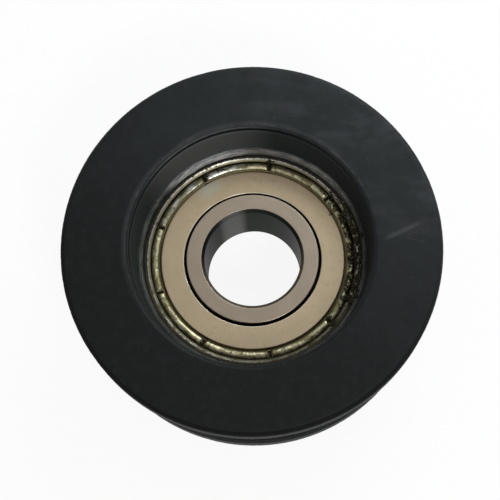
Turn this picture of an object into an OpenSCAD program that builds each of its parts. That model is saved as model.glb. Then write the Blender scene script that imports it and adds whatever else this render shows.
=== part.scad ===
// V groove wheel: a moulded wheel body on a deep groove ball bearing with two metal shields.
// Millimetres. The axis is Z, the origin is the middle of the wheel, and the front is +Z.
// The bearing sits deep in the front and near the back, and its own two sides are alike.

/* [Wheel body] */
// Diameter of the front flange
wheel_d = 38; // [34:0.5:48]
// Diameter of the back flange, a little smaller
back_flange_d = 36.8; // [34:0.2:42]
// Width across the two flat faces
wheel_w = 15; // [14:0.5:24]
// Radius on the outer edge of each flange
flange_edge_r = 0.6; // [0.3:0.1:1]

/* [V groove] */
// Wall of the wheel between the bearing and the bottom of the groove
hub_wall = 1.6; // [0.8:0.1:2.4]
// Width of the flat at the bottom of the groove
groove_flat_w = 1; // [0.6:0.1:2]
// Angle between the two walls of the groove
groove_angle = 90; // [70:5:100]
// Bevel that breaks the two edges at the groove's mouth
groove_bevel = 0.35; // [0.1:0.05:0.6]

/* [Recess in each face] */
// Depth of the bearing below the wheel's back face
back_depth = 1.2; // [1.1:0.1:3]
// Diameter of the recess just below its rounded mouth
recess_d = 24.5; // [24.2:0.1:26]
// Radius on the mouth of the recess
recess_edge_r = 0.3; // [0.1:0.05:0.5]
// Lean of the recess wall towards the bearing, in degrees
recess_draft = 3; // [1:0.5:3]
// Height of the lip that holds the bearing, in front of the bearing's face
lip_h = 0.75; // [0.5:0.05:1.2]
// How far the lip's inner wall leans back from its foot to its top
lip_lean = 0.2; // [0.1:0.05:0.3]
// Band of the bearing's face that the lip leaves open outside the bevel
lip_gap = 0.16; // [0.05:0.01:0.25]

/* [Bearing] */
// Bore of the inner ring
bore_d = 10; // [9.6:0.2:10.6]
// Outside diameter of the outer ring
bearing_d = 26; // [25.4:0.2:26.8]
// Width of both rings
bearing_w = 8; // [7.6:0.2:10]
// Chamfer at each end of the bore
bore_chamfer = 0.45; // [0.2:0.05:0.6]
// Chamfer on the outer edges of the outer ring
ring_chamfer = 0.3; // [0.1:0.05:0.5]

/* [Raceways and ring faces] */
// Diameter of each ball
ball_d = 4.76; // [4.4:0.02:4.88]
// Gap between a ball and the raceways
race_gap = 0.07; // [0.03:0.01:0.09]
// Depth of the raceway in the inner ring
inner_race_depth = 0.85; // [0.7:0.05:1.1]
// Depth of the raceway in the outer ring
outer_race_depth = 1.15; // [0.9:0.05:1.2]
// Step from the inner ring's shoulder in to the narrower land at its face
land_step = 0.55; // [0.3:0.05:0.65]
// Depth of that land below the face
land_h = 1.05; // [0.98:0.01:1.2]
// Step from the outer ring's shoulder out to the seat of the shield
seat_step = 0.3; // [0.2:0.05:0.5]
// Depth of the shield's seat below the face
seat_h = 1; // [0.97:0.01:1.15]
// Width of the bevel round the seat, across the face
rim_bevel_w = 0.44; // [0.2:0.02:0.5]
// Height of that bevel
rim_bevel_h = 0.3; // [0.1:0.05:0.4]

/* [Shields] */
// Thickness of the shield's sheet
shield_t = 0.3; // [0.2:0.05:0.35]
// Depth of the shield's flat below the ring faces
shield_drop = 0.35; // [0.2:0.05:0.4]
// Gap between the shield and the inner ring's land
shield_gap = 0.4; // [0.2:0.05:0.5]
// Bevel on the inner edge of the shield
shield_bevel = 0.14; // [0.05:0.01:0.18]
// Radius of the rolled rim
curl_r = 0.33; // [0.28:0.01:0.35]
// Depth of the top of the rolled rim below the ring faces
curl_drop = 0.22; // [0.15:0.01:0.3]
// Width of the pressed groove between the flat and the rolled rim
press_w = 0.46; // [0.4:0.02:0.6]
// Depth of that groove
press_h = 0.26; // [0.1:0.02:0.28]
// Width of each notch in the rolled rim
notch_w = 0.85; // [0.5:0.05:1.2]
// Depth of each notch below the top of the rolled rim
notch_h = 0.36; // [0.2:0.02:0.38]

/* [Ball cage] */
// Width of the cage ribbon
cage_w = 2; // [1.6:0.1:2.1]
// Thickness of the cage sheet
cage_t = 0.4; // [0.3:0.02:0.44]
// Gap between a ball and its pocket
pocket_gap = 0.05; // [0.03:0.01:0.09]
// Diameter of a rivet's shank
rivet_d = 0.8; // [0.6:0.05:1]
// Diameter of a rivet's head
rivet_head_d = 1.4; // [1.2:0.05:1.5]
// Height of a rivet's head
rivet_head_h = 0.35; // [0.2:0.05:0.5]

/* [Fits] */
// Clearance round the pieces that are pressed, riveted or moulded in
seat_fit = 0.02; // [0.01:0.01:0.04]

/* [Hidden] */

ball_count = 7;
notch_count = 9;
// How far a cutting shape runs past what it cuts
over = 1;
$fn = 96;
pocket_fn = 32;
curl_steps = 12;

// Radii and heights of the bearing
bore_r = bore_d / 2;
ring_r = bearing_d / 2;
ring_top = bearing_w / 2;
pitch_r = (bore_r + ring_r) / 2;
ball_r = ball_d / 2;
race_r = ball_r + race_gap;
inner_shoulder_r = pitch_r - race_r + inner_race_depth;
outer_shoulder_r = pitch_r + race_r - outer_race_depth;
land_r = inner_shoulder_r - land_step;
seat_r = outer_shoulder_r + seat_step;
seat_floor = ring_top - seat_h;
bevel_r = seat_r + rim_bevel_w;

// Radii and heights of the wheel body, whose groove stands a wall's thickness off the bearing
wheel_r = wheel_d / 2;
back_r = back_flange_d / 2;
wheel_top = wheel_w / 2;
groove_half_angle = groove_angle / 2;
groove_root_r = ring_r + hub_wall;
function groove_half_w(r) = groove_flat_w / 2 + (r - groove_root_r) * tan(groove_half_angle);

// Where the bearing sits, and how deep that makes the front recess
bearing_z = back_depth + ring_top - wheel_top;
front_depth = wheel_w - bearing_w - back_depth;

// The lip starts just outside the bevel of the outer ring
recess_r = recess_d / 2;
lip_foot_r = bevel_r + lip_gap;
lip_top_r = lip_foot_r + lip_lean;

// Radii and heights of a shield
shield_in_r = land_r + shield_gap;
shield_top = ring_top - shield_drop;
curl_out_r = seat_r - seat_fit;
curl_mid_r = curl_out_r - curl_r;
curl_top = ring_top - curl_drop;
flat_out_r = curl_mid_r - curl_r - press_w;
press_floor = shield_top - press_h;

// Radii of the cage and its rivets
pocket_r = ball_r + pocket_gap;
ribbon_in_r = pitch_r - cage_w / 2;
ball_step = 360 / ball_count;
first_ball_angle = ball_step / 4;

// What has to come off a square corner at the origin, with its body below and to the left,
// to leave a radius there
module corner_off(r) {
    difference() {
        translate([-r, -r]) square(r + over);
        translate([-r, -r]) circle(r);
        translate([-r, 0]) mirror([1, 0]) square(over);
    }
}

// Whatever is drawn for the front, and its mirror image for the back
module both_sides_2d() {
    children();
    mirror([0, 1]) children();
}

// Half of the V groove, out to a flange of radius r, with the edge at its mouth bevelled
module half_groove_outline(r) {
    wall_r = r - groove_bevel * cos(groove_half_angle);
    wall_z = groove_half_w(r) - groove_bevel * sin(groove_half_angle);
    land_z = groove_half_w(r) + groove_bevel;
    polygon([
        [groove_root_r, 0],
        [groove_root_r, groove_flat_w / 2],
        [wall_r, wall_z],
        [r, land_z],
        [r + over, land_z],
        [r + over, 0],
    ]);
}

// The open recess in a face, down to the bearing: drafted wall, ledge and leaning lip
module recess_outline(depth) {
    floor_z = wheel_top - depth;
    ledge_z = floor_z + lip_h;
    foot_r = recess_r - (depth - lip_h) * tan(recess_draft);
    polygon([
        [-over, floor_z - over],
        [lip_foot_r, floor_z - over],
        [lip_foot_r, floor_z],
        [lip_top_r, ledge_z],
        [foot_r, ledge_z],
        [recess_r, wheel_top],
        [recess_r, wheel_top + over],
        [-over, wheel_top + over],
    ]);
}

// Half of the wheel's outline: a flange of radius r with its share of the groove and its recess
module half_wheel_outline(r, depth) {
    difference() {
        square([r, wheel_top]);
        half_groove_outline(r);
        recess_outline(depth);
        translate([r, wheel_top]) corner_off(flange_edge_r);
        translate([recess_r, wheel_top]) mirror([1, 0]) corner_off(recess_edge_r);
    }
}

// Cross-section of the outer ring's outside, grown by a fit for the pocket that holds it
module ring_outline(inside_r, fit) {
    r = ring_r + fit;
    z = ring_top + fit;
    polygon([
        [inside_r, -z],
        [r - ring_chamfer, -z],
        [r, -z + ring_chamfer],
        [r, z - ring_chamfer],
        [r - ring_chamfer, z],
        [inside_r, z],
    ]);
}

// One moulded piece: two flanges, the groove between them, and a pocket closed by two lips
module wheel_body() {
    color([0.16, 0.17, 0.18])
        rotate_extrude() difference() {
            union() {
                half_wheel_outline(wheel_r, front_depth);
                mirror([0, 1]) half_wheel_outline(back_r, back_depth);
            }
            translate([0, bearing_z]) ring_outline(-over, seat_fit);
        }
}

// Outer ring: raceway, two shoulders, and a seat with a bevelled rim for each shield
module outer_ring() {
    color([0.74, 0.73, 0.7])
        rotate_extrude() difference() {
            ring_outline(outer_shoulder_r, 0);
            translate([pitch_r, 0]) circle(race_r);
            both_sides_2d() polygon([
                [outer_shoulder_r - over, seat_floor],
                [seat_r, seat_floor],
                [seat_r, ring_top - rim_bevel_h],
                [bevel_r, ring_top],
                [bevel_r, ring_top + over],
                [outer_shoulder_r - over, ring_top + over],
            ]);
        }
}

// Inner ring: chamfered bore, raceway, and a narrower land at each face
module inner_ring() {
    color([0.57, 0.53, 0.47])
        rotate_extrude() difference() {
            polygon([
                [bore_r, -ring_top + bore_chamfer],
                [bore_r + bore_chamfer, -ring_top],
                [inner_shoulder_r, -ring_top],
                [inner_shoulder_r, ring_top],
                [bore_r + bore_chamfer, ring_top],
                [bore_r, ring_top - bore_chamfer],
            ]);
            translate([pitch_r, 0]) circle(race_r);
            both_sides_2d() translate([land_r, ring_top - land_h]) square([land_step + over, land_h + over]);
        }
}

// Points along an arc, from one angle to another
function arc(mid, r, from, to, steps) = [
    for (i = [0 : steps])
        let (a = from + (to - from) * i / steps)
        mid + r * [cos(a), sin(a)]
];

// Cross-section of a shield: bevelled flat, pressed groove, and a rim rolled into its seat
module shield_outline() {
    curl_mid_z = curl_top - curl_r;
    curl_end = 180 - asin((press_floor - curl_mid_z) / curl_r);
    sheet_floor = press_floor - shield_t;
    slope = press_h / 2;
    polygon(concat(
        [
            [shield_in_r, shield_top - shield_t],
            [flat_out_r - slope, shield_top - shield_t],
            [flat_out_r, sheet_floor],
            [curl_out_r - shield_t, sheet_floor],
            [curl_out_r - shield_t, seat_floor + seat_fit],
            [curl_out_r, seat_floor + seat_fit],
        ],
        arc([curl_mid_r, curl_mid_z], curl_r, 0, curl_end, curl_steps),
        [
            [flat_out_r + slope, press_floor],
            [flat_out_r, shield_top],
            [shield_in_r + shield_bevel, shield_top],
            [shield_in_r, shield_top - shield_bevel],
        ]
    ));
}

// One pressed shield, with notches round its rolled rim
module shield() {
    notch_start = curl_mid_r - curl_r - press_w / 4;
    color([0.64, 0.58, 0.48])
        difference() {
            rotate_extrude() shield_outline();
            for (i = [0 : notch_count - 1])
                rotate([0, 0, i * 360 / notch_count])
                    translate([notch_start, -notch_w / 2, curl_top - notch_h])
                        cube([curl_out_r - notch_start + over, notch_w, notch_h + over]);
        }
}

// Puts its children at every ball, or between the balls with half_step = 0.5
module at_balls(half_step = 0) {
    for (i = [0 : ball_count - 1])
        rotate([0, 0, first_ball_angle + (i + half_step) * ball_step])
            translate([pitch_r, 0, 0]) children();
}

// The ring-shaped space, of a given height, that the cage ribbon keeps to
module ribbon_zone(h) {
    rotate_extrude() translate([ribbon_in_r, 0]) square([cage_w, h]);
}

// One half of the ribbon cage: flat lands for the rivets and a pressed pocket round each ball
module cage_half() {
    color([0.66, 0.65, 0.62])
        difference() {
            intersection() {
                union() {
                    cylinder(h = cage_t, r = ribbon_in_r + cage_w + over);
                    at_balls() sphere(pocket_r + cage_t, $fn = pocket_fn);
                }
                ribbon_zone(pocket_r + over);
            }
            at_balls() sphere(pocket_r, $fn = pocket_fn);
            at_balls(0.5) translate([0, 0, -over])
                cylinder(h = cage_t + 2 * over, d = rivet_d + 2 * seat_fit);
        }
}

// Cross-section of half a rivet: the shank up to the middle of the cage, and a domed head
module rivet_outline() {
    head_r = rivet_head_d / 2;
    dome_r = (head_r * head_r + rivet_head_h * rivet_head_h) / (2 * rivet_head_h);
    square([rivet_d / 2, cage_t]);
    intersection() {
        translate([0, cage_t + rivet_head_h - dome_r]) circle(dome_r);
        translate([0, cage_t]) square([head_r, rivet_head_h]);
    }
}

// The rivets that hold the two halves of the cage together
module cage_rivets() {
    color([0.7, 0.69, 0.66])
        at_balls(0.5) rotate_extrude() both_sides_2d() rivet_outline();
}

// One ball of the bearing
module ball(number) {
    color([0.82, 0.82, 0.83])
        rotate([0, 0, first_ball_angle + (number - 1) * ball_step])
            translate([pitch_r, 0, 0]) sphere(ball_r);
}

// Puts a piece drawn round the bearing's middle where the bearing sits in the wheel
module in_bearing() {
    translate([0, 0, bearing_z]) children();
}

wheel_body();
in_bearing() outer_ring();
in_bearing() inner_ring();
in_bearing() shield();  // shield_front
in_bearing() mirror([0, 0, 1]) shield();  // shield_back
in_bearing() cage_half();  // cage_front
in_bearing() mirror([0, 0, 1]) cage_half();  // cage_back
in_bearing() cage_rivets();
in_bearing() ball(1);  // ball_1
in_bearing() ball(2);  // ball_2
in_bearing() ball(3);  // ball_3
in_bearing() ball(4);  // ball_4
in_bearing() ball(5);  // ball_5
in_bearing() ball(6);  // ball_6
in_bearing() ball(7);  // ball_7
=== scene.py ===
# %% [markdown]
# # A V groove wheel on a ball bearing
#
# This lesson dresses one machine part: a black moulded wheel with a V groove round it, which runs
# on a deep groove ball bearing held in the middle. The solid model already has every size, so
# Blender adds what a solid model leaves out: rough moulded edges, turned steel, oil, dirt and light.

# %% Load the solid model
import math
import random
import bmesh
import bpy
import numpy as np
from mathutils import Matrix, Vector, noise


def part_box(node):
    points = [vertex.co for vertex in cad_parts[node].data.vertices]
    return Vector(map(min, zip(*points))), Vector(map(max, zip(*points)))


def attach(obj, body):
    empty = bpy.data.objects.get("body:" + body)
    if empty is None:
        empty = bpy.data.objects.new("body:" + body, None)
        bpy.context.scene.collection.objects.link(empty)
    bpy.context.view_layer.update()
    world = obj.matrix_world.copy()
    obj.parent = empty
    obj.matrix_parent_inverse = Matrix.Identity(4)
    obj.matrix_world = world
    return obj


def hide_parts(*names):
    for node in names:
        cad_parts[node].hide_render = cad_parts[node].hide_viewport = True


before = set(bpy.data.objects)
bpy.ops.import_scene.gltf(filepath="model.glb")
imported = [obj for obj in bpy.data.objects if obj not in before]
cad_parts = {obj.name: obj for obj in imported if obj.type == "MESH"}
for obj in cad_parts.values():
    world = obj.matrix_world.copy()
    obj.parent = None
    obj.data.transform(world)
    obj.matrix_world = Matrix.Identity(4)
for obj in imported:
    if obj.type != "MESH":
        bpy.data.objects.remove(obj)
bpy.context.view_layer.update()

# %% [markdown]
# ## Sizes shared by everything
#
# The pieces below are turned round the wheel's axis, so a piece is an outline of radius and height.
# The outer sizes are read from the solid model, and the small ones are written next to them in
# millimetres, which are easier to think in than metres for a part as small as this.

# %% Read the main sizes from the solid model
def span(node):
    """Outer radius, bottom and top of one node of the solid model, in millimetres."""
    low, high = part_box(node)
    return [round(v * 1000, 3) for v in (min(high[0], high[1]), low[2], high[2])]

wheel_r, back_face, front_face = span("wheel_body")
ring_r, ring_back, ring_front = span("outer_ring")
bearing_z, ring_top = (ring_front + ring_back) / 2, (ring_front - ring_back) / 2
curl_out_r, _, curl_top = span("shield_front")
curl_top -= bearing_z
print(f"wheel {2 * wheel_r} x {front_face - back_face}, bearing middle at {bearing_z:.2f}")

# %% Name the small sizes
bore_r, pitch_r, race_r = 5.0, 9.0, 2.45
seat_r, bevel_r, lip_foot_r, lip_top_r, lip_h = 10.6, 11.04, 11.2, 11.4, 0.75
recess_r, back_flange_r, groove_root_r = 12.12, 18.4, 14.6
print("bore", bore_r * 2, "mm, recess", recess_r * 2, "mm, back flange", back_flange_r * 2, "mm across")

# %% [markdown]
# ## Turning an outline into a mesh
#
# A lathe is the natural tool for round parts. The outline is given as a few corners, each with the
# radius that rounds it and the spacing of the points after it, so that the mesh is fine where it is
# seen and coarse where it is hidden. Sharp corners stay sharp by marking their edges.

# %% Trace an outline
def trace(corners):
    """Points along a closed outline. A corner is (radius, height, rounding, spacing after it).
    A rounding of 0 is a sharp corner, and None is one point of a smooth curve."""
    pts, n = [], len(corners)
    here = [np.array(c[:2], float) for c in corners]
    ends = []
    for i, c in enumerate(corners):
        a, p, b = here[i - 1], here[i], here[(i + 1) % n]
        u, v = (a - p) / np.linalg.norm(a - p), (b - p) / np.linalg.norm(b - p)
        if not c[2]:
            ends.append(([p], [c[2] is not None]))
            continue
        half = math.acos(max(-1, min(1, float(u @ v)))) / 2
        reach = c[2] / math.tan(half)
        mid = p + (u + v) / np.linalg.norm(u + v) * c[2] / math.sin(half)
        start, stop = p + u * reach - mid, p + v * reach - mid
        sweep = math.pi - 2 * half
        turn = math.copysign(1, start[0] * stop[1] - start[1] * stop[0])
        steps = max(3, math.ceil(math.degrees(sweep) / 11))
        arc = []
        for k in range(steps + 1):
            t = turn * sweep * k / steps
            arc.append(mid + np.array([start[0] * math.cos(t) - start[1] * math.sin(t),
                                       start[0] * math.sin(t) + start[1] * math.cos(t)]))
        ends.append((arc, [False] * len(arc)))
    sharp = []
    for i, c in enumerate(corners):
        pts += ends[i][0]
        sharp += ends[i][1]
        a, b = ends[i][0][-1], ends[(i + 1) % n][0][0]
        count = int(np.linalg.norm(b - a) / c[3]) if c[3] else 0
        for k in range(1, count):
            pts.append(a + (b - a) * k / count)
            sharp.append(False)
    return np.array(pts), np.array(sharp)

def both_sides(front, other=None):
    """The outline of a piece whose back mirrors its front, or mirrors another list of corners."""
    other = other or front
    back = [(r, -z, c, other[i - 1][3]) for i, (r, z, c, d) in enumerate(other)][::-1]
    back[-1] = back[-1][:3] + (0,)
    return front + back

# %% Turn it round the axis
def lathe(name, corners, sections, dress=None, lift=0.0):
    """A ring-shaped piece. dress(r, z, angle) may move the points, to wear or notch the piece."""
    outline, sharp = trace(corners)
    n = len(outline)
    angle = np.repeat(np.arange(sections) * 2 * np.pi / sections, n)
    r, z = np.tile(outline[:, 0], sections), np.tile(outline[:, 1], sections)
    if dress:
        r, z = dress(r, z, angle)
    points = np.stack([r * np.cos(angle), r * np.sin(angle), z + lift], 1) / 1000
    i, j = np.meshgrid(np.arange(sections), np.arange(n), indexing="ij")
    ahead, after = (i + 1) % sections, (j + 1) % n
    quads = np.stack([i * n + j, ahead * n + j, ahead * n + after, i * n + after], -1)
    mesh = bpy.data.meshes.new(name)
    mesh.from_pydata(points, [], quads.reshape(-1, 4).tolist())
    area = outline[:, 0] @ (np.roll(outline[:, 1], -1) - np.roll(outline[:, 1], 1))
    if area > 0:
        mesh.flip_normals()
    mesh.shade_smooth()
    edge = np.zeros(len(mesh.edges) * 2, int)
    mesh.edges.foreach_get("vertices", edge)
    edge = edge.reshape(-1, 2) % n
    hard = (edge[:, 0] == edge[:, 1]) & sharp[edge[:, 0]]
    mesh.attributes.new("sharp_edge", "BOOLEAN", "EDGE").data.foreach_set("value", hard)
    piece = bpy.data.objects.new(name, mesh)
    bpy.context.collection.objects.link(piece)
    print(name, len(mesh.polygons) * 2, "triangles")
    return piece

# %% Roughness in the shape itself
def rough(r, z, angle, size, seed, octaves=3):
    """Smooth random numbers between about -1 and 1 that change over a length of size mm."""
    x, y = r * np.cos(angle) / size, r * np.sin(angle) / size
    return np.array([noise.fractal(Vector((a, b, c)), 1.0, 2.0, octaves)
                     for a, b, c in zip(x + seed, y - seed, z / size + seed * 0.37)])

def creases(r, z, angle, along, across, seed):
    """Random numbers that change slowly round the axis and quickly across, like folds in a ribbon."""
    return np.array([noise.fractal(Vector(p), 1.0, 2.0, 2)
                     for p in zip(np.cos(angle) * lip_top_r / along + seed, np.sin(angle) * lip_top_r / along,
                                  (r + 1.3 * z) / across)])

def band(value, low, high, soft):
    """1 between low and high, fading to 0 over soft on each side."""
    up = np.clip((value - low + soft) / soft, 0, 1)
    down = np.clip((high + soft - value) / soft, 0, 1)
    return up * up * (3 - 2 * up) * down * down * (3 - 2 * down)

def near_angle(angle, middle, width):
    """1 at an angle in degrees, fading to 0 at width degrees to either side."""
    off = (np.degrees(angle) - middle + 180) % 360 - 180
    return np.clip(1 - np.abs(off) / width, 0, 1)

# %% [markdown]
# ## The wheel body
#
# The wheel is one nylon moulding. Its recess has a thin burr round the mouth, a fine groove just
# inside it where two parts of the mould met, and a rough lip at the bottom that was pressed over
# the bearing while warm. These are real bumps of a few hundredths of a millimetre, so they go into
# the mesh, where they catch the light properly.

# %% Shape the wheel body
mouth_round = 0.55
line_high = front_face - mouth_round - 0.04
line_low, line_r = line_high - 0.6, recess_r + 0.14
# The lip is smeared at this angle, and the painted highlights on the recess wall, the lip and the bore sit
# here too.
smear_and_highlight_angle = 116

def half_body(flange_r, ring_face, face, line):
    """Corners of one side, from the bearing's pocket up the recess and round to the groove."""
    ledge = ring_face + lip_h
    foot_r = recess_r - (face - ledge) * math.tan(math.radians(3))
    mouth = 0.5 + flange_r - groove_root_r
    fine_line = [(recess_r - 0.03, line_low, 0, 0), (line_r, line_low + 0.08, 0, 0),
                 (line_r, line_high - 0.08, 0, 0), (recess_r, line_high, 0, 0)] if line else []
    return [
        (13.02, ring_face - 0.28, 0, 0), (12.72, ring_face + 0.02, 0, 0.5),
        (lip_foot_r, ring_face + 0.02, 0, 0.12), (lip_top_r, ledge, 0.08, 0.12),
        (foot_r, ledge, 0.1, 0.36), *fine_line, (recess_r, face, mouth_round, 0.4),
        (flange_r, face, 0.6, 0.9), (flange_r, mouth + 0.35, 0, 0),
        (flange_r - 0.2475, mouth - 0.2475, 0, 0.8), (groove_root_r, 0.5, 0, 0.25),
    ]

body_corners = both_sides(half_body(wheel_r, ring_front, front_face, True),
                          half_body(back_flange_r, -ring_back, -back_face, False))

def wear_body(r, z, angle):
    side = np.sign(z)
    mouth = (band(np.abs(z), front_face - 0.3, front_face + 0.1, 0.1)
             * band(r, recess_r - 0.1, recess_r + 0.5, 0.2))
    height = np.where(z > 0, z - ring_front, ring_back - z)
    lip = band(height, 0.2, 0.9, 0.1) * band(r, 11.0, 11.8, 0.2)
    smear = near_angle(angle, smear_and_highlight_angle, 34) * (z > 0)
    rim = (band(r, back_flange_r - 0.8, wheel_r + 1, 0.3)
           * band(np.abs(z), front_face - 0.8, front_face + 1, 0.3))
    fine = rough(r, z, angle, 0.45, 3.1)
    broad = rough(r, z, angle, 2.4, 8.7)
    folds = np.zeros(len(r))
    folds[lip > 0] = creases(r[lip > 0], z[lip > 0], angle[lip > 0], 1.3, 0.5, 4.2)
    r = r + mouth * 0.03 * fine + lip * (0.03 * fine + 0.07 * folds - 0.08 * smear)
    z = z + side * (lip * (0.02 * fine + (0.07 + 0.08 * smear) * folds) - mouth * 0.02 * np.abs(fine))
    worn_z = np.clip(z - side * rim * 0.03 * np.abs(broad), back_face, front_face)
    return r - rim * 0.03 * np.abs(fine), worn_z

wheel = lathe("wheel_moulding", body_corners, 512, wear_body)
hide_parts("wheel_body")
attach(wheel, "wheel")

# %% [markdown]
# ## The outer ring
#
# Only a narrow band of the outer ring shows: its face, a bevel round the shield's seat and, inside,
# the raceway that the balls run in. It is turned and ground steel, so its outline stays crisp.

# %% Turn the outer ring
def arc(middle_r, start, stop, count):
    """Points of a raceway, from one angle to another, in degrees."""
    return [(middle_r + race_r * math.cos(t), race_r * math.sin(t), None, 0)
            for t in np.radians(np.linspace(start, stop, count + 2)[1:-1])]

shoulder = math.degrees(math.acos((10.3 - pitch_r) / race_r))
shoulder_z = race_r * math.sin(math.radians(shoulder))
ring_corners = arc(pitch_r, -shoulder, shoulder, 11) + both_sides([
    (10.3, shoulder_z, 0, 0), (10.3, 3.0, 0, 0), (seat_r, 3.0, 0, 0),
    (seat_r, ring_top - 0.3, 0, 0.1), (bevel_r, ring_top, 0.06, 0.12),
    (ring_r - 0.3, ring_top, 0, 0), (ring_r, ring_top - 0.3, 0, 0.8),
])

def wear_ring(r, z, angle):
    edge = band(np.abs(z), ring_top - 0.35, ring_top, 0.05) * band(r, seat_r, bevel_r + 0.1, 0.05)
    return r + edge * 0.02 * rough(r, z, angle, 0.9, 5.2), z

outer_ring = lathe("outer_ring_steel", ring_corners, 384, wear_ring, lift=bearing_z)
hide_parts("outer_ring")
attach(outer_ring, "wheel")

# %% [markdown]
# ## The inner ring
#
# The inner ring is the part that the axle holds. Its face is ground, its bore is fine turned, and
# its edges are broken by chamfers so that the axle slides in.

# %% Turn the inner ring
chamfer = 0.32
shoulder = math.degrees(math.acos((7.4 - pitch_r) / race_r))
shoulder_z = race_r * math.sin(math.radians(shoulder))
inner_corners = arc(pitch_r, shoulder, 360 - shoulder, 11) + both_sides([
    (7.4, -shoulder_z, 0, 0), (7.4, -2.95, 0, 0), (6.85, -2.95, 0, 0.3), (6.85, -ring_top, 0.08, 0.22),
    (bore_r + chamfer, -ring_top, 0.05, 0.12), (bore_r, chamfer - ring_top, 0.05, 0.4),
])

inner_ring = lathe("inner_ring_steel", inner_corners, 384, lift=bearing_z)
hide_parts("inner_ring")
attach(inner_ring, "inner_ring")

# %% [markdown]
# ## The shields
#
# A thin pressed shield closes each side of the bearing. Its rim is rolled into a groove of the
# outer ring, and nine small notches in the roll let the sheet give as it goes in. The back shield
# is the same pressing turned over, with its own dents.

# %% Press the two shields
roll_r, roll_half_w = 0.33, 0.43
roll_mid_r, roll_mid_z = curl_out_r - roll_half_w, curl_top - roll_r
notch_step, notch_floor, notch_half_w = 40, 3.42, 0.27
roll = [(roll_mid_r + roll_half_w * math.cos(t), roll_mid_z + roll_r * math.sin(t), None, 0)
        for t in np.radians(np.linspace(0, 185, 15))]
shield_corners = [
    (7.1, 3.35, 0, 0.6), (9.33, 3.35, 0, 0), (9.46, 3.09, 0, 0), (10.28, 3.09, 0, 0),
    (10.28, 3.02, 0, 0), (curl_out_r, 3.02, 0, 0.2), *roll, (9.64, 3.46, 0.05, 0.06),
    (9.46, 3.65, 0.14, 0.16), (7.1, 3.65, 0.1, 0.08),
]
turned_over = both_sides(shield_corners)[len(shield_corners):]

def dent_shield(seed):
    """Small dents along the roll, and the notches cut into it."""
    def dent(r, z, angle):
        on_roll = band(r, 9.74, 10.7, 0.08) * (np.abs(z) > 3.4)
        dents = rough(r, z, angle, 0.55, seed)
        r = r - on_roll * 0.025 * np.abs(dents)
        z = z - np.sign(z) * on_roll * 0.05 * np.abs(dents)
        half_step = notch_step / 2
        away = np.abs((np.degrees(angle) + half_step) % notch_step - half_step) * np.pi / 180 * r
        inside = np.clip((notch_half_w - away) / 0.12, 0, 1) * band(r, 9.7, 10.7, 0.03)
        floor = np.minimum(np.abs(z), notch_floor)
        return r, np.sign(z) * (np.abs(z) * (1 - inside) + floor * inside)
    return dent

shields = []
for side, corners, seed in (("front", shield_corners, 1.9), ("back", turned_over, 6.4)):
    shield = lathe(f"{side}_shield_steel", corners, 600, dent_shield(seed), lift=bearing_z)
    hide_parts(f"shield_{side}")
    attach(shield, "wheel")
    shields.append(shield)

# %% [markdown]
# ## Dried grease
#
# Grease that has crept out of the bearing dries into dark crumbs, thick along one side of the lip
# and here and there in the notches. Each crumb is a small ball, squashed and pushed out of shape by
# noise, and they are joined into one piece. Crumbs have a shape of their own, so they hide the line
# between lip and steel as the real ones do.

# %% Drop the crumbs
crumb_rows = [
    # middle angle, half width, number, radius from, to, largest size
    (4, 24, 46, 10.5, 11.45, 0.28), (339, 5, 22, 10.2, 11.5, 0.36), (3, 3, 9, 10.1, 10.7, 0.26),
    (25, 4, 14, 9.9, 10.7, 0.26), (31, 2, 6, 9.3, 9.9, 0.15), (40, 5, 16, 10.3, 11.2, 0.26),
    (80, 2.5, 8, 10.0, 10.9, 0.26), (110, 2, 7, 10.0, 10.8, 0.24), (118, 1.5, 5, 10.1, 10.8, 0.2),
    (160, 1.5, 5, 10.1, 10.8, 0.2), (240, 1.5, 4, 10.0, 10.7, 0.2), (320, 3, 7, 10.0, 10.9, 0.24),
]
profile_r = [9.3, 9.5, 9.64, 9.8, 10.15, 10.5, 10.6, 11.04, 11.2, 11.4, 12.0]
profile_z = [3.65, 3.6, 3.46, 3.65, 3.78, 3.65, 3.7, 4.0, 4.0, 4.75, 4.75]

def crumb(cloud, angle, r, size, seed):
    """Adds one crumb to a bmesh. Its size is half its length, in mm."""
    z = float(np.interp(r, profile_r, profile_z)) + bearing_z + size * 0.15
    shape = Matrix.Rotation(angle, 4, "Z") @ Matrix.Translation((r, 0, z))
    squash = Vector((size * 0.6, size, size * 0.5))
    for vertex in bmesh.ops.create_icosphere(cloud, subdivisions=3, radius=1.0)["verts"]:
        push = 1 + 0.45 * noise.fractal(vertex.co * 1.6 + Vector((seed, seed, 0)), 1.0, 2.0, 3)
        vertex.co = (shape @ (vertex.co * push * squash)) / 1000

draw = random.Random(7)
cloud = bmesh.new()
for middle, half_w, count, low_r, high_r, largest in crumb_rows:
    for k in range(count):
        angle = math.radians(middle + half_w * draw.uniform(-1, 1))
        crumb(cloud, angle, draw.uniform(low_r, high_r),
              largest * draw.uniform(0.25, 1) ** 1.5, draw.uniform(0, 90))
for face in cloud.faces:
    face.smooth = True
mesh = bpy.data.meshes.new("dried_grease")
cloud.to_mesh(mesh)
cloud.free()
grease = bpy.data.objects.new("dried_grease", mesh)
bpy.context.collection.objects.link(grease)
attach(grease, "wheel")
print("dried grease:", len(mesh.polygons), "triangles")
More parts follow.
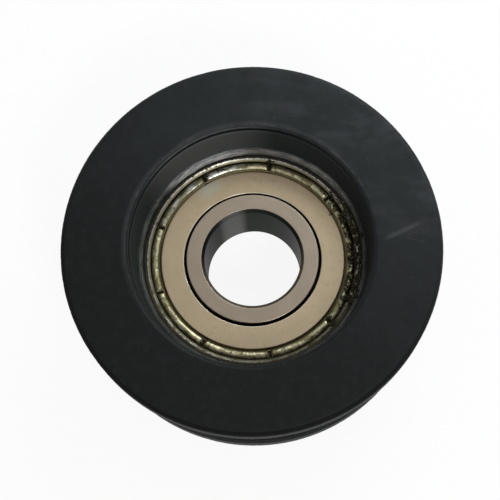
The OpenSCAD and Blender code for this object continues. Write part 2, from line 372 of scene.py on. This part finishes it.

# %% [markdown]
# ## Building a finish in layers
#
# Every finish below is a Principled shader, built up in layers: the bare material first, then wear,
# then dirt, and on some pieces painted highlights and painted shade where the lamps would put them.
# A layer covers what is below it as far as its mask says. The masks come from two rulers, the place
# on the piece in millimetres and the radius and direction from the axis, because dirt and tool marks
# on a round part follow circles.

# %% A short way to write node trees
class Nodes:
    """Adds nodes to one tree, and links or sets their inputs."""

    def __init__(self, owner):
        owner.use_nodes = True
        self.tree = owner.node_tree

    def feed(self, socket, value):
        if isinstance(value, bpy.types.NodeSocket):
            self.tree.links.new(value, socket)
        else:
            colour = isinstance(value, tuple) and socket.type == "RGBA"
            socket.default_value = (*value, 1.0) if colour else value

    def node(self, kind, operation=None, data_type=None, **inputs):
        n = self.tree.nodes.new(kind)
        if data_type:
            n.data_type = data_type
        if operation:
            n.operation = operation
        for key, value in inputs.items():
            self.feed(n.inputs[key], value)
        return n

    def math(self, operation, a, b=0.0):
        n = self.node("ShaderNodeMath", operation=operation)
        self.feed(n.inputs[0], a)
        self.feed(n.inputs[1], b)
        return n.outputs[0]

    def times(self, first, *others):
        for other in others:
            first = self.math("MULTIPLY", first, other)
        return first

    def ramp(self, value, low, high, start=0.0, end=1.0):
        """start below low, end above high, and a smooth change between them."""
        n = self.node("ShaderNodeMapRange")
        n.interpolation_type = "SMOOTHSTEP"
        for socket, v in zip(n.inputs, (value, low, high, start, end)):
            self.feed(socket, v)
        return n.outputs[0]

    def between(self, value, low, high, soft):
        return self.times(self.ramp(value, low - soft, low), self.ramp(value, high, high + soft, 1.0, 0.0))

    def mix(self, factor, a, b):
        """A blend of two colours, or of two numbers."""
        colour = isinstance(a, tuple) or getattr(a, "type", "") == "RGBA"
        n = self.node("ShaderNodeMix", data_type="RGBA" if colour else "FLOAT")
        first = 6 if colour else 2
        self.feed(n.inputs[0], factor)
        self.feed(n.inputs[first], a)
        self.feed(n.inputs[first + 1], b)
        return n.outputs[2 if colour else 0]

# %% The finish itself
class Finish(Nodes):
    """One material: a bare surface, and the layers that lie on it."""

    def __init__(self, name, colour, roughness, metal=0.0, **fixed):
        self.material = bpy.data.materials.new(name)
        super().__init__(self.material)
        self.look = [colour, roughness, metal]
        self.shader = self.tree.nodes["Principled BSDF"]
        for key, value in fixed.items():
            self.shader.inputs[key.replace("_", " ")].default_value = value
        place = self.node("ShaderNodeTexCoord").outputs["Object"]
        self.mm = self.node("ShaderNodeVectorMath", operation="SCALE", Vector=place, Scale=1000.0).outputs[0]
        self.x, self.y, self.z = self.node("ShaderNodeSeparateXYZ", Vector=self.mm).outputs
        flat = self.node("ShaderNodeCombineXYZ", X=self.x, Y=self.y).outputs[0]
        self.r = self.node("ShaderNodeVectorMath", operation="LENGTH", Vector=flat).outputs["Value"]
        self.way = self.node("ShaderNodeVectorMath", operation="NORMALIZE", Vector=flat).outputs[0]
        self.height = self.math("ABSOLUTE", self.math("SUBTRACT", self.z, bearing_z))

    def noise(self, size, detail=3.0, seed=0.0, where=None):
        """Noise from about 0.3 to 0.7, with spots of a given size in mm."""
        n = self.node("ShaderNodeTexNoise", Vector=where or self.mm, Scale=1.0 / size,
                      Detail=detail, Roughness=0.55)
        n.noise_dimensions = "4D"
        n.inputs["W"].default_value = seed
        return n.outputs[0]

    def turned(self, across, around):
        """A place that runs round the axis, for marks left by turning. Sizes in mm across and round."""
        reach = self.math("DIVIDE", self.math("ADD", self.r, self.z), across)
        way = self.node("ShaderNodeVectorMath", operation="SCALE", Vector=self.way,
                        Scale=10.0 / around).outputs[0]
        up = self.node("ShaderNodeCombineXYZ", Z=reach).outputs[0]
        n = self.node("ShaderNodeVectorMath", operation="ADD")
        self.feed(n.inputs[0], way)
        self.feed(n.inputs[1], up)
        return n.outputs[0]

    def toward(self, angle, width, soft):
        """1 within width degrees of a direction from the axis, 0 beyond width + soft."""
        a = math.radians(angle)
        n = self.node("ShaderNodeVectorMath", operation="DOT_PRODUCT", Vector=self.way)
        n.inputs[1].default_value = (math.cos(a), math.sin(a), 0)
        low, high = math.cos(math.radians(min(width + soft, 180))), math.cos(math.radians(width))
        return self.ramp(n.outputs["Value"], low, high)

    def scratch(self, start, end, width):
        """A straight scratch between two places, which fades at its ends. Places and width in mm."""
        along = Vector(end) - Vector(start)
        length = along.length
        along.normalize()
        across = Vector((-along.y, along.x))
        side = self.math("ADD", self.times(self.x, across.x), self.times(self.y, across.y))
        off = self.math("ABSOLUTE", self.math("SUBTRACT", side, across.dot(start)))
        run = self.math("ADD", self.times(self.x, along.x), self.times(self.y, along.y))
        begin = along.dot(start)
        ends = self.between(run, begin + length * 0.25, begin + length * 0.75, length * 0.25)
        return self.times(self.ramp(off, width * 0.3, width, 1.0, 0.0), ends)

    def layer(self, cover, colour, roughness, metal=None):
        """Lays another surface over the ones below, where cover is above 0."""
        self.look[0] = self.mix(cover, self.look[0], colour)
        self.look[1] = self.mix(cover, self.look[1], roughness)
        if metal is not None:
            self.look[2] = self.mix(cover, self.look[2], metal)

    def bump(self, height, depth):
        """Raises the surface by depth mm where height is 1."""
        n = self.node("ShaderNodeBump", Height=self.times(height, depth / 1000), Distance=1.0)
        normal = self.shader.inputs["Normal"]
        if normal.is_linked:
            self.feed(n.inputs["Normal"], normal.links[0].from_socket)
        self.feed(normal, n.outputs[0])

    def onto(self, *pieces, where=None):
        """Puts the finish on whole pieces, or on those of their faces whose middle passes a test."""
        for socket, value in zip(("Base Color", "Roughness", "Metallic"), self.look):
            self.feed(self.shader.inputs[socket], value)
        for piece in pieces:
            if not where:
                piece.data.materials.clear()
            piece.data.materials.append(self.material)
            for face in piece.data.polygons if where else ():
                if where(face.center * 1000):
                    face.material_index = len(piece.data.materials) - 1
        print(self.material.name, "on", ", ".join(p.name for p in pieces))

# %% [markdown]
# ## Worn black nylon
#
# Moulded nylon is not quite black: it is a very dark grey with a soft satin gloss. Handling leaves
# a dusty haze and fine scratches on the flat face; the haze is lighter towards the far side, partly
# as painted sheen. The walls of the recess are a rougher, lighter grey with a painted highlight on
# one side. Where the plastic was torn or pressed, at the burr and the lip, it has turned pale, and on
# the side facing the near lamp the mouth, the burr and the lip also carry painted highlights. The fine
# groove below the mouth holds a painted shadow, and the near side of the rim is painted darker.

# %% Bare nylon, dust and scratches
nylon = Finish("worn_black_nylon", (0.0034, 0.004, 0.004), 0.48, Specular_IOR_Level=0.18)
clouds = nylon.noise(3.5, 4, 1.0)
mottle = nylon.noise(0.9, 4, 7.0)
grain = nylon.noise(0.35, 3, 2.0)
# Lighter towards the far side: dust, and painted sheen where the far lamp's gloss would lie.
far_side = nylon.toward(62, 15, 120)
dust_and_painted_sheen = nylon.times(far_side, nylon.ramp(clouds, 0.3, 0.7, 0.55, 1.0))
nylon.layer(dust_and_painted_sheen, (0.0125, 0.0155, 0.0165), 0.52)
drawn_out = nylon.node("ShaderNodeMapping", Vector=nylon.mm, Scale=(0.45, 1.0, 1.0)).outputs[0]
scuffs = nylon.noise(1.6, 5, 12.0, drawn_out)
scuffed = nylon.times(nylon.toward(48, 22, 40), nylon.ramp(scuffs, 0.44, 0.68))
nylon.layer(nylon.times(scuffed, 0.5), (0.033, 0.034, 0.038), 0.52)
nylon.layer(nylon.ramp(mottle, 0.45, 0.7, 0, 0.14), (0.018, 0.021, 0.0215), 0.55)
nylon.layer(nylon.ramp(grain, 0.5, 0.75, 0, 0.14), (0.021, 0.024, 0.024), 0.55)

on_face = nylon.times(nylon.ramp(nylon.z, 7.3, 7.45), nylon.ramp(nylon.r, 12.5, 12.7))
broad_scratch = nylon.scratch((12.9, 0.2), (17.0, 2.1), 0.3)
nylon.layer(nylon.times(broad_scratch, on_face, 0.32), (0.07, 0.072, 0.073), 0.5)
draw = random.Random(11)
scratches = None
for k in range(14):
    angle, r = math.radians(draw.uniform(-10, 130)), draw.uniform(13.2, 18.2)
    start = (r * math.cos(angle), r * math.sin(angle))
    turn, length = draw.uniform(0, 2 * math.pi), draw.uniform(1, 4)
    end = (start[0] + length * math.cos(turn), start[1] + length * math.sin(turn))
    mark = nylon.scratch(start, end, draw.uniform(0.08, 0.14))
    scratches = nylon.math("MAXIMUM", scratches, mark) if scratches else mark
scratches = nylon.times(scratches, nylon.ramp(grain, 0.4, 0.6))
nylon.layer(nylon.times(scratches, on_face, 0.16), (0.045, 0.048, 0.05), 0.45)
print("nylon so far:", len(nylon.tree.nodes), "nodes")

# %% The recess, its burr and its lip
in_recess = nylon.times(nylon.ramp(nylon.r, 12.26, 12.36, 1.0, 0.0), nylon.ramp(nylon.height, 4.1, 4.3))
nylon.layer(in_recess, (0.0165, 0.0205, 0.0205), 0.72)
# Painted highlight on the recess wall, on the side facing the near lamp.
nylon.layer(nylon.times(in_recess, nylon.toward(smear_and_highlight_angle, 4, 36), 0.85), (0.072, 0.077, 0.077), 0.55)
# Lighter rounding at the mouth on the upper-left side: partly wear, partly painted highlight.
worn_and_lit_bead = nylon.times(nylon.between(nylon.r, 12.58, 12.75, 0.25), nylon.ramp(nylon.z, 7.25, 7.4),
                   nylon.toward(110, 50, 60))
nylon.layer(nylon.times(worn_and_lit_bead, nylon.ramp(clouds, 0.35, 0.6, 0.15, 0.5)), (0.034, 0.036, 0.036), 0.5)
# Painted shadow: the fine groove just below the mouth is made near black on the far side.
line_shadow = nylon.times(nylon.between(nylon.z, line_low + 0.24, line_high + 0.2, 0.2),
                      nylon.ramp(nylon.r, 12.4, 12.55, 1.0, 0.0))
nylon.layer(nylon.times(line_shadow, nylon.toward(128, 50, 70)), (0.0008, 0.0009, 0.0009), 0.9)
# Pale torn plastic at the mouth, shown only on the lamp side, so partly a painted highlight.
torn_and_lit_burr = nylon.times(nylon.between(nylon.r, 12.5, 12.58, 0.12), nylon.ramp(nylon.z, 7.1, 7.35),
                   nylon.ramp(nylon.noise(0.8, 4, 4.0), 0.45, 0.62, 0.1, 1.0), nylon.toward(100, 45, 60))
nylon.layer(nylon.times(torn_and_lit_burr, 0.55), (0.055, 0.058, 0.057), 0.6)

lip_mask = nylon.times(nylon.ramp(nylon.r, 11.62, 11.8, 1.0, 0.0), nylon.ramp(nylon.height, 4.08, 4.25))
folds = nylon.noise(1.0, 3, 8.0, nylon.turned(0.16, 1.2))
crest = nylon.times(lip_mask, nylon.ramp(nylon.height, 4.4, 4.62))
nylon.layer(lip_mask, (0.014, 0.015, 0.013), 0.5)
nylon.layer(nylon.times(crest, nylon.ramp(folds, 0.34, 0.64, 0.3, 1.0)), (0.085, 0.086, 0.078), 0.6)
# Painted highlight on the lip, on the side facing the near lamp.
painted_lip_highlight = nylon.times(lip_mask, nylon.toward(80, 30, 25), nylon.ramp(folds, 0.36, 0.6, 0.25, 1.0))
nylon.layer(nylon.times(painted_lip_highlight, 0.7), (0.2, 0.198, 0.185), 0.55)
# Pale smeared flash on the lip, brightened further as a painted highlight.
smear_and_lip_highlight = nylon.times(lip_mask, nylon.toward(smear_and_highlight_angle, 6, 22), nylon.ramp(folds, 0.34, 0.6, 0.3, 1.0))
nylon.layer(smear_and_lip_highlight, (0.47, 0.475, 0.47), 0.5)
# Painted glints: white specks on the rough lip, on the lit side.
glint_specks = nylon.times(lip_mask, nylon.ramp(nylon.noise(0.22, 2, 5.0), 0.64, 0.7), nylon.toward(90, 50, 30))
nylon.layer(nylon.times(glint_specks, 0.7), (0.4, 0.4, 0.38), 0.5)
print("nylon with recess and lip:", len(nylon.tree.nodes), "nodes")

# %% The rounded rim and fine bumps
# Painted shade: the rounded rim on the near side is made darker and rougher.
shaded_rim_edge = nylon.times(nylon.ramp(nylon.r, 18.4, 18.7), nylon.toward(250, 62, 50))
nylon.layer(shaded_rim_edge, (0.002, 0.0023, 0.0023), 0.85)
nylon.bump(mottle, 0.02)
nylon.bump(grain, 0.01)
nylon.bump(nylon.times(folds, lip_mask), 0.08)
nylon.bump(scratches, -0.01)
nylon.onto(wheel)

# %% Finish the groove and the flange walls
groove = Finish("smooth_groove_nylon", (0.008, 0.0092, 0.0092), 0.55, Specular_IOR_Level=0.06)
speck = groove.noise(0.35, 3, 2.0)
haze = groove.noise(2.4, 4, 3.0)
groove.layer(groove.ramp(haze, 0.4, 0.7, 0, 0.6), (0.0125, 0.014, 0.014), 0.55)
streaks = groove.noise(1.0, 3, 4.0, groove.turned(0.4, 12))
track = groove.times(groove.between(groove.r, 15.9, 17.3, 0.5), groove.ramp(streaks, 0.3, 0.7))
groove.layer(groove.times(track, 0.8), (0.0155, 0.017, 0.017), 0.36)
# Lighter speckled patches on the flange's outer edge, towards 292 degrees.
lighter_edge_patch = groove.times(groove.between(groove.z, 5.0, 5.4, 0.06), groove.ramp(groove.r, 18.6, 18.75),
                         groove.toward(292, 18, 22))
groove.layer(groove.times(lighter_edge_patch, groove.ramp(speck, 0.4, 0.55, 0.3, 0.9)), (0.07, 0.072, 0.072), 0.6)
groove.bump(haze, 0.02)
groove.bump(speck, 0.008)
groove.onto(wheel, where=lambda middle: middle.xy.length > 14 and abs(middle.z) < front_face - 0.5)

# %% [markdown]
# ## Bearing steel, its dirt and painted light
#
# The rings are bare steel, so their finish is metallic, and fine marks run round them from the
# grinding wheel. Grease and dust cling where the steel meets the plastic. One small function lays
# that dirt on the ring and on the shield alike, so that it carries on from one to the other. The
# steel also carries painted shade in crevices and under the shields, and painted highlights on the
# side facing the near lamp.

# %% Dirt that spreads over several pieces
def dirty(finish, low_r, high_r):
    """Dried grease between two radii, thick on the side where the crumbs lie."""
    spread = finish.noise(0.5, 4, 9.0)
    thick = finish.math("MAXIMUM", finish.toward(4, 22, 22), finish.toward(346, 6, 10))
    cover = finish.ramp(finish.math("ADD", spread, finish.times(thick, 0.22)), 0.62, 0.72)
    where = finish.times(finish.between(finish.r, low_r, high_r, 0.1), finish.ramp(finish.z, 0.9, 1.0))
    crust = finish.noise(0.16, 2, 8.0)
    finish.layer(finish.times(cover, where), (0.03, 0.026, 0.013), 0.5)
    finish.layer(finish.times(cover, where, finish.ramp(crust, 0.58, 0.64)), (0.3, 0.28, 0.19), 0.5)

# %% Finish the rings
ring_steel = Finish("ground_ring_steel", (0.4, 0.39, 0.33), 0.34, 1.0)
marks = ring_steel.noise(1.0, 3, 1.0, ring_steel.turned(0.12, 14))
ring_steel.layer(marks, (0.52, 0.51, 0.46), 0.3)
stain = ring_steel.noise(0.4, 3, 2.0)
ring_steel.layer(ring_steel.ramp(stain, 0.46, 0.6, 0.1, 0.7), (0.14, 0.128, 0.085), 0.5)
face_edge = ring_steel.math("ADD", ring_steel.r, ring_steel.times(stain, 0.2))
in_front = ring_steel.ramp(ring_steel.height, 2.9, 3.0)
# Painted shade in the crevice between the ring's face and the lip.
ring_steel.layer(ring_steel.ramp(face_edge, 10.98, 11.05), (0.035, 0.033, 0.027), 0.6)
varnish = ring_steel.times(ring_steel.ramp(face_edge, 10.84, 10.94, 1.0, 0.0), in_front)
ring_steel.layer(varnish, (0.2, 0.18, 0.11), 0.5)
blotch = ring_steel.ramp(ring_steel.noise(1.3, 3, 6.0), 0.42, 0.58, 0.2, 0.85)
ring_steel.layer(ring_steel.times(in_front, blotch, ring_steel.toward(262, 55, 30)), (0.06, 0.052, 0.03), 0.5)
# Painted shade: darker and browner inside the seat, under the shield's roll.
ring_steel.layer(ring_steel.ramp(ring_steel.r, 10.62, 10.67, 1.0, 0.0), (0.045, 0.04, 0.022), 0.6)
dirty(ring_steel, 10.5, 11.4)
ring_steel.bump(marks, 0.004)
ring_steel.onto(outer_ring)

inner_steel = Finish("turned_inner_steel", (0.35, 0.29, 0.222), 0.38, 1.0)
marks = inner_steel.noise(1.0, 3, 3.0, inner_steel.turned(0.09, 20))
blush = inner_steel.noise(1.6, 3, 4.0)
inner_steel.layer(marks, (0.44, 0.37, 0.285), 0.34)
inner_steel.layer(inner_steel.ramp(blush, 0.4, 0.7, 0, 0.5), (0.43, 0.345, 0.28), 0.4)
# Painted shade on the inner ring's shoulder, in the gap behind the shield.
shade_behind_shield = inner_steel.times(inner_steel.ramp(inner_steel.r, 6.78, 6.83),
                                  inner_steel.ramp(inner_steel.height, 3.68, 3.74, 1.0, 0.0))
inner_steel.layer(shade_behind_shield, (0.008, 0.007, 0.005), 0.6)
inner_steel.bump(marks, 0.004)
inner_steel.onto(inner_ring)

# %% Finish the bore
# Painted shade: the bore's steel is made dark, standing in for the dark surroundings it would reflect.
bore_steel = Finish("darkened_bore_steel", (0.04, 0.045, 0.04), 0.36, 1.0, Specular_Tint=(0.42, 0.42, 0.42, 1.0))
marks = bore_steel.noise(1.0, 3, 3.0, bore_steel.turned(0.12, 16))
bore_steel.layer(bore_steel.times(marks, 0.6), (0.055, 0.06, 0.055), 0.42)
# Painted highlight on the bore wall, on the side facing the near lamp.
bore_steel.layer(bore_steel.times(bore_steel.toward(smear_and_highlight_angle, 4, 16), 0.8), (0.2, 0.2, 0.195), 0.4)
# The chamfer keeps the steel's own colour on the near side only; elsewhere it is as dark as the bore.
on_chamfer = bore_steel.times(bore_steel.ramp(bore_steel.height, 3.62, 3.72), bore_steel.toward(280, 60, 50))
bore_steel.layer(on_chamfer, (0.42, 0.35, 0.27), 0.4)
bore_steel.bump(marks, 0.004)
bore_steel.onto(inner_ring, where=lambda middle: middle.xy.length < bore_r + chamfer - 0.03)

# %% Finish the shields
shield_steel = Finish("champagne_shield_steel", (0.42, 0.34, 0.222), 0.44, 1.0)
patches = shield_steel.noise(2.5, 3, 6.0)
brush = shield_steel.noise(1.0, 3, 5.0, shield_steel.turned(0.3, 30))
shield_steel.layer(patches, (0.58, 0.465, 0.305), 0.4)
shield_steel.layer(shield_steel.times(brush, 0.3), (0.54, 0.45, 0.32), 0.5)
blush = shield_steel.noise(1.4, 4, 12.0)
shield_steel.layer(shield_steel.ramp(blush, 0.48, 0.66, 0, 0.6), (0.53, 0.4, 0.275), 0.44)
spots = shield_steel.noise(0.45, 3, 11.0)
shield_steel.layer(shield_steel.ramp(spots, 0.56, 0.68, 0, 0.3), (0.36, 0.28, 0.17), 0.5)
# Painted highlight: a small pale patch on the flat shield at 121 degrees, where the near lamp reflects.
flat_highlight = shield_steel.times(shield_steel.toward(121, 2, 9), shield_steel.ramp(shield_steel.r, 7.8, 8.8),
                           shield_steel.ramp(patches, 0.35, 0.6, 0.3, 0.7))
shield_steel.layer(flat_highlight, (0.52, 0.52, 0.42), 0.4)
inner_edge = shield_steel.ramp(shield_steel.r, 7.16, 7.26, 1.0, 0.0)
# Painted highlight on the shield's rounded inner edge.
edge_highlight = shield_steel.times(inner_edge, shield_steel.ramp(patches, 0.4, 0.6, 0.1, 0.8))
shield_steel.layer(edge_highlight, (0.85, 0.8, 0.68), 0.35)
# Painted shade under the shield's inner edge.
shade_under_edge = shield_steel.ramp(shield_steel.height, 3.5, 3.56, 1.0, 0.0)
shield_steel.layer(shield_steel.times(inner_edge, shade_under_edge), (0.008, 0.007, 0.005), 0.6)
shadow_side = shield_steel.toward(255, 65, 50)
pressed = shield_steel.between(shield_steel.r, 9.52, 9.7, 0.06)
shield_steel.layer(pressed, (0.24, 0.205, 0.115), 0.5)
# Painted shadow: the pressed groove is much darker on the near side.
shield_steel.layer(shield_steel.times(pressed, shadow_side, 0.8), (0.05, 0.042, 0.02), 0.5)
print("shield steel so far:", len(shield_steel.tree.nodes), "nodes")

# %% Finish the rolled rim
on_roll = shield_steel.ramp(shield_steel.r, 9.7, 9.8)
varnish = shield_steel.noise(1.0, 4, 13.0, shield_steel.turned(0.5, 1.6))
knurl = shield_steel.noise(1.0, 3, 7.0, shield_steel.turned(1.2, 0.4))
shield_steel.layer(on_roll, (0.5, 0.46, 0.3), 0.42)
# Painted highlight: the roll is silver-white on the side facing the near lamp.
roll_highlight = shield_steel.times(on_roll, shield_steel.toward(125, 18, 20))
shield_steel.layer(roll_highlight, (0.6, 0.6, 0.55), 0.36)
varnished = shield_steel.times(on_roll, shield_steel.ramp(varnish, 0.42, 0.58, 0, 0.85))
shield_steel.layer(varnished, (0.17, 0.148, 0.068), 0.5)
pitted = shield_steel.times(on_roll, shield_steel.ramp(knurl, 0.56, 0.66, 0, 0.7))
shield_steel.layer(pitted, (0.09, 0.078, 0.036), 0.55)
# Painted shade on the low parts of the roll, in the notches and below it.
low = shield_steel.ramp(shield_steel.height, 3.44, 3.5, 1.0, 0.0)
shield_steel.layer(shield_steel.times(on_roll, low), (0.02, 0.017, 0.009), 0.6)
# Painted shade where the roll meets the outer ring.
outer_line_shade = shield_steel.times(shield_steel.ramp(shield_steel.r, 10.5, 10.55),
                                shield_steel.ramp(shield_steel.height, 3.6, 3.5))
shield_steel.layer(outer_line_shade, (0.1, 0.088, 0.05), 0.6)
dirty(shield_steel, 9.9, 11.0)
shield_steel.bump(patches, 0.01)
shield_steel.bump(shield_steel.times(on_roll, knurl), 0.03)
shield_steel.onto(*shields)

# %% Finish the crumbs
dried = Finish("dried_grease", (0.009, 0.0075, 0.0045), 0.5, Specular_IOR_Level=0.18)
crust = dried.noise(0.12, 3, 1.0)
dried.layer(dried.ramp(crust, 0.45, 0.6), (0.04, 0.034, 0.018), 0.6)
dried.layer(dried.ramp(crust, 0.64, 0.68), (0.26, 0.24, 0.17), 0.5)
dried.bump(dried.noise(0.08, 2, 2.0), 0.02)
dried.onto(grease)

# %% Finish the parts inside the bearing
cage_steel = Finish("bright_cage_steel", (0.42, 0.41, 0.38), 0.42, 1.0)
cage_steel.layer(cage_steel.noise(0.8), (0.54, 0.53, 0.5), 0.3)
cage_steel.layer(cage_steel.ramp(cage_steel.noise(0.5, 3, 2.0), 0.5, 0.65, 0, 0.6), (0.2, 0.17, 0.1), 0.2)
cage_steel.onto(*(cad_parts[n] for n in ("cage_front", "cage_back", "cage_rivets")))
ball_steel = Finish("polished_ball_steel", (0.62, 0.62, 0.62), 0.08, 1.0)
ball_steel.layer(ball_steel.ramp(ball_steel.noise(1.5), 0.4, 0.6), (0.66, 0.66, 0.67), 0.14)
ball_steel.onto(*(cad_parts[f"ball_{n}"] for n in range(1, 8)))

# %% [markdown]
# ## The floor, the light and the camera
#
# A small part is easiest to judge on a white table. The floor is white paper that also glows a
# little to the camera and in reflections, so that it reads as white without more lamps, and it
# still takes the soft shadow of the wheel. It is see-through from below.

# %% Lay the floor
def disc(name, radius, z, sections=96):
    mesh = bpy.data.meshes.new(name)
    ring = [(radius * math.cos(t), radius * math.sin(t), z)
            for t in np.linspace(0, 2 * np.pi, sections, False)]
    mesh.from_pydata(ring, [], [list(range(sections))])
    piece = bpy.data.objects.new(name, mesh)
    bpy.context.collection.objects.link(piece)
    return piece

floor = disc("studio_floor", 8.0, (back_face - 0.01) / 1000)
material = bpy.data.materials.new("white_paper")
paper = Nodes(material)
paper.tree.nodes.clear()
path = paper.node("ShaderNodeLightPath").outputs
seen = path["Is Camera Ray"]
for kind in ("Is Glossy Ray", "Is Transmission Ray"):
    seen = paper.math("MAXIMUM", seen, path[kind])
white = paper.node("ShaderNodeBsdfDiffuse", Color=(0.86, 0.86, 0.86)).outputs[0]
glow = paper.node("ShaderNodeEmission", Color=(1.0, 1.0, 1.0)).outputs[0]
clear = paper.node("ShaderNodeBsdfTransparent").outputs[0]
below = paper.node("ShaderNodeNewGeometry").outputs["Backfacing"]

def blend(factor, first, second):
    n = paper.node("ShaderNodeMixShader")
    for socket, value in zip(n.inputs, (factor, first, second)):
        paper.feed(socket, value)
    return n.outputs[0]

surface = blend(below, blend(paper.times(seen, 0.9), white, glow), clear)
paper.node("ShaderNodeOutputMaterial", Surface=surface)
floor.data.materials.append(material)
print("floor", round((back_face - 0.01) / 1000, 5), "m high")

# %% [markdown]
# Three lights make the shapes readable: an even grey sky, which shows as plain white where the
# camera looks straight at it, a large cool lamp low on the far side
# that grazes the flat face, and a small lamp from the near side that puts a glint on every wall
# that curves round the axis.

# %% Light the studio
world = bpy.data.worlds.new("studio")
bpy.context.scene.world = world
sky = Nodes(world)
seen = sky.node("ShaderNodeLightPath").outputs["Is Camera Ray"]
sky.feed(sky.tree.nodes["Background"].inputs["Color"], sky.mix(seen, (0.5, 0.5, 0.505), (1.0, 1.0, 1.0)))

def softbox(name, azimuth, elevation, distance, size, level, colour=(1, 1, 1)):
    """A square lamp that lights a white floor to about level on its own."""
    a, e = math.radians(azimuth), math.radians(elevation)
    lamp = bpy.data.lights.new(name, "AREA")
    lamp.size = size
    lamp.energy = level * math.pi ** 2 * distance ** 2 / math.sin(e)
    lamp.color = colour
    holder = bpy.data.objects.new(name, lamp)
    way = Vector((math.cos(a) * math.cos(e), math.sin(a) * math.cos(e), math.sin(e)))
    holder.location = way * distance
    holder.rotation_euler = way.to_track_quat("Z", "Y").to_euler()
    bpy.context.collection.objects.link(holder)

softbox("near_lamp", -62, 50, 0.35, 0.07, 0.28)
softbox("far_lamp", 62, 42, 0.2, 0.12, 0.35, (0.9, 0.97, 1.0))
print("lamps:", ", ".join(lamp.name for lamp in bpy.data.lights))

# %% Place the camera
tilt, lean, reach = math.radians(15), math.radians(6), 0.120
way = Vector((math.sin(lean) * math.sin(tilt), -math.cos(lean) * math.sin(tilt), math.cos(tilt)))
aim = Vector((-0.0001, -0.0007, front_face / 1000))
lens = bpy.data.cameras.new("camera")
lens.lens, lens.sensor_width = 87.6, 36.0
lens.clip_start, lens.clip_end = 0.005, 50
right = Vector((0, 1, 0)).cross(way).normalized()
camera = bpy.data.objects.new("camera", lens)
camera.matrix_world = (Matrix.Translation(aim + way * reach)
                       @ Matrix((right, way.cross(right), way)).transposed().to_4x4())
bpy.context.collection.objects.link(camera)
bpy.context.scene.camera = camera
bpy.context.scene.view_settings.view_transform = "Standard"
print("camera", round(reach * 1000), "mm from the wheel, lens", round(lens.lens, 1), "mm")
